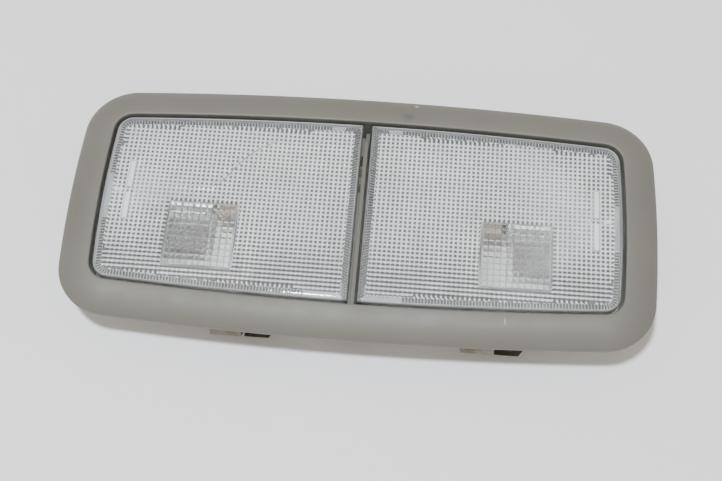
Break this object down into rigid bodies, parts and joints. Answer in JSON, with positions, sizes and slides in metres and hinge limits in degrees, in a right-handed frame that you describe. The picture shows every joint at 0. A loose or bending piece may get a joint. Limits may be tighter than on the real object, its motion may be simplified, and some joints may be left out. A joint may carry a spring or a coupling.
{
  "type": "car interior light",
  "caption": "Twin map light for a car roof, with a warm grey bowed bezel, prismatic push lenses and spring clips, lying on its back.",
  "frame": {"origin": "middle of the flat back of the housing, under the centre of the bezel", "axes": "+X along the length, to the right in the picture; +Y across, away from the clips; +Z out of the lenses"},
  "size_m": [0.1912, 0.086, 0.0218],
  "materials": {
    "bezel_plastic": "fine grained moulding, warm grey",
    "housing_plastic": "smooth moulding, off white",
    "lens_clear": "clear, prisms inside",
    "spring_steel": "bare spring steel",
    "zinc_steel": "zinc plated",
    "socket_plastic": "smooth moulding",
    "tinned_brass": "tinned",
    "brass_strip": "stamped",
    "bulb_glass": "clear",
    "filament_wire": "drawn wire",
    "holder_plastic": "heat proof moulding, brown",
    "reflector_sheet": "bright rolled",
    "switch_plastic": "black moulding",
    "plunger_plastic": "white moulding"
  },
  "bodies": {
    "case": {"bezel": "bezel_plastic", "housing": "housing_plastic", "mounting_clips": "spring_steel", "bezel_screws": "zinc_steel", "plug_socket": "socket_plastic", "plug_pins": "tinned_brass", "supply_strip": "brass_strip", "ground_strip": "brass_strip", "lamp_strip_left": "brass_strip", "bulb_left": "bulb_glass", "filament_left": "filament_wire", "bulb_holder_left": "holder_plastic", "reflector_left": "reflector_sheet", "switch_case_left": "switch_plastic", "switch_spring_left": "spring_steel", "lamp_strip_right": "brass_strip", "bulb_right": "bulb_glass", "filament_right": "filament_wire", "bulb_holder_right": "holder_plastic", "reflector_right": "reflector_sheet", "switch_case_right": "switch_plastic", "switch_spring_right": "spring_steel"},
    "lens_left": {"lens_left": "lens_clear"},
    "plunger_left": {"switch_plunger_left": "plunger_plastic", "contact_bridge_left": "brass_strip"},
    "lens_right": {"lens_right": "lens_clear"},
    "plunger_right": {"switch_plunger_right": "plunger_plastic", "contact_bridge_right": "brass_strip"}
  },
  "joints": [
    {"name": "lens_left_press", "type": "hinge", "parent": "case", "child": "lens_left", "pos_m": [-0.0095, 0, 0.0145], "axis": [0, -1, 0], "range_deg": [0, 2.5], "stiffness_Nm_per_rad": 1, "springref_deg": -2.86},
    {"name": "plunger_left_travel", "type": "slide", "parent": "case", "child": "plunger_left", "axis": [0, 0, -1], "range_m": [0, 0.0029], "deforming": ["switch_spring_left"]},
    {"name": "lens_right_press", "type": "hinge", "parent": "case", "child": "lens_right", "pos_m": [0.0095, 0, 0.0145], "axis": [0, 1, 0], "range_deg": [0, 2.5], "stiffness_Nm_per_rad": 1, "springref_deg": -2.86},
    {"name": "plunger_right_travel", "type": "slide", "parent": "case", "child": "plunger_right", "axis": [0, 0, -1], "range_m": [0, 0.0029], "deforming": ["switch_spring_right"]}
  ],
  "couplings": [
    {"joint": "plunger_left_travel", "follows": "lens_left_press", "m_per_rad": 0.066},
    {"joint": "plunger_right_travel", "follows": "lens_right_press", "m_per_rad": 0.066}
  ]
}
